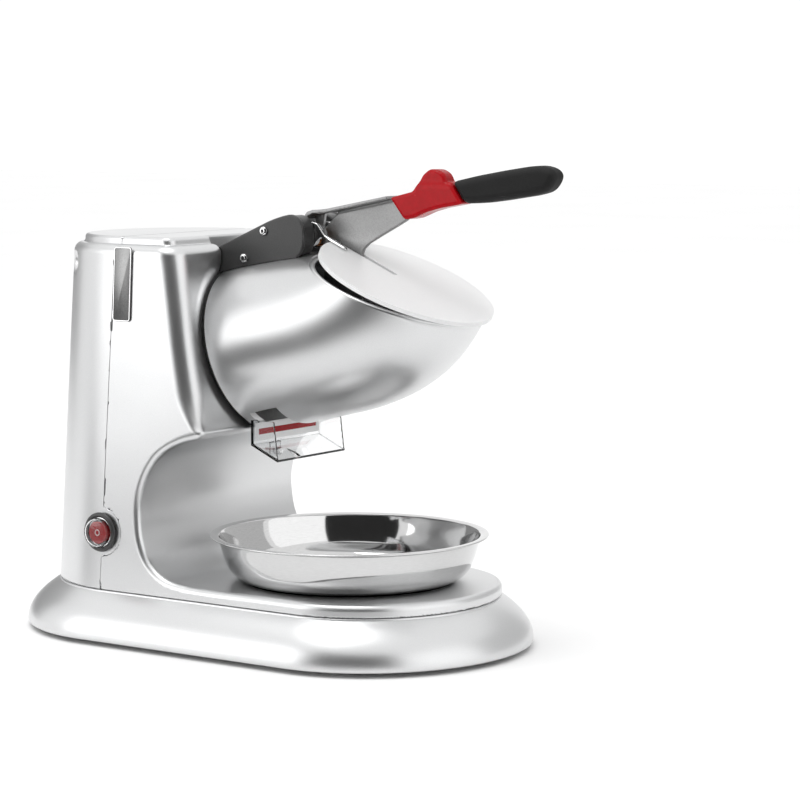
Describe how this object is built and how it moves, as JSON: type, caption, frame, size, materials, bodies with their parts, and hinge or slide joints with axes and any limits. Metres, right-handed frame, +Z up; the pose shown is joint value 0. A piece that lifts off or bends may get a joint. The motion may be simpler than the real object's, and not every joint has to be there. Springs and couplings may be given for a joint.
{
  "type": "shaved ice machine",
  "caption": "Electric shaved ice machine with a press handle, hinged lid, clear chute and steel bowl.",
  "frame": {"origin": "on the surface that the feet stand on, under the middle of the machine's overall box, handle included", "axes": "+X forward, towards the user and the end of the handle; +Y to the user's right as they face the machine, which is the side without the switch; +Z up"},
  "size_m": [0.442, 0.234, 0.3447],
  "materials": {
    "silver_paint": "satin metallic silver paint, fine flake",
    "zinc_steel": "zinc-plated sheet, dull",
    "plain_steel": "ground steel",
    "black_rubber": "matte",
    "black_satin": "satin dark grey to black",
    "cast_metal": "cast and tumbled, satin",
    "clear_plastic": "clear, polished",
    "red_gloss": "glossy red",
    "white_label": "white film with a plain red bar",
    "chrome_plate": "bright plate",
    "copper_wire": "copper-coloured wire",
    "frosted_plastic": "frosted, translucent white",
    "charcoal_grip": "matte charcoal",
    "mirror_steel": "mirror-polished stainless steel"
  },
  "bodies": {
    "machine": {"base_plinth": "silver_paint", "front_housing": "silver_paint", "rear_housing": "silver_paint", "hopper": "silver_paint", "base_plate": "zinc_steel", "capacitor": "zinc_steel", "capacitor_clip": "plain_steel", "foot_front_left": "black_rubber", "foot_front_right": "black_rubber", "foot_rear_left": "black_rubber", "foot_rear_right": "black_rubber", "name_badge": "cast_metal", "switch_bezel": "black_satin", "switch_cap": "clear_plastic", "switch_body": "black_rubber", "hopper_seal": "black_rubber", "chute": "clear_plastic", "chute_label": "white_label", "chute_screw": "chrome_plate", "bracket_core": "black_satin", "bracket_cover_left": "black_satin", "bracket_cover_right": "black_satin", "bracket_screw_left_1": "chrome_plate", "bracket_screw_left_2": "chrome_plate", "bracket_screw_right_1": "chrome_plate", "bracket_screw_right_2": "chrome_plate", "hinge_pin": "chrome_plate", "micro_switch": "black_satin", "mounting_flange": "cast_metal", "front_bearing": "plain_steel", "rear_bearing": "plain_steel", "shaft_seal": "black_rubber", "motor_front_bell": "cast_metal", "motor_rear_bell": "cast_metal", "front_winding": "copper_wire", "rear_winding": "copper_wire", "motor_stator": "plain_steel", "cord_inlet": "black_rubber"},
    "blades": {"motor_rotor": "plain_steel", "motor_shaft": "plain_steel", "cooling_fan": "black_satin", "blade_disc": "plain_steel", "blade_1": "chrome_plate", "blade_2": "chrome_plate", "disc_nut": "chrome_plate"},
    "lid": {"lid": "frosted_plastic", "lid_hinge_left": "chrome_plate", "lid_hinge_right": "chrome_plate"},
    "handle": {"handle_arm": "cast_metal", "handle_sleeve": "red_gloss", "handle_grip": "charcoal_grip", "ice_pusher": "cast_metal", "hinge_spring": "copper_wire"},
    "rocker": {"switch_rocker": "red_gloss"},
    "plunger": {"micro_switch_plunger": "red_gloss"},
    "bowl": {"bowl": "mirror_steel"}
  },
  "joints": [
    {"name": "blade_spin", "type": "hinge", "parent": "machine", "child": "blades", "pos_m": [-0.0337, 0, 0.2089], "axis": [0.9613, 0, 0.2756], "continuous": true},
    {"name": "lid_open", "type": "hinge", "parent": "machine", "child": "lid", "pos_m": [0.02, 0, 0.291], "axis": [0, -1, 0], "range_deg": [0, 75]},
    {"name": "handle_press", "type": "hinge", "parent": "lid", "child": "handle", "pos_m": [0.02, 0, 0.291], "axis": [0, 1, 0], "range_deg": [0, 27], "stiffness_Nm_per_rad": 0.8, "springref_deg": -20.05},
    {"name": "switch_rock", "type": "hinge", "parent": "machine", "child": "rocker", "pos_m": [-0.106, -0.0952, 0.079], "axis": [1, 0, 0], "range_deg": [-7, 7]},
    {"name": "plunger_travel", "type": "slide", "parent": "machine", "child": "plunger", "axis": [-1, 0, 0], "range_m": [0, 0.0021]},
    {"name": "bowl_slide", "type": "slide", "parent": "machine", "child": "bowl", "axis": [1, 0, 0], "range_m": [0, 0.28]}
  ],
  "couplings": [
    {"joint": "plunger_travel", "follows": "handle_press", "m_per_rad": 0.004244}
  ]
}
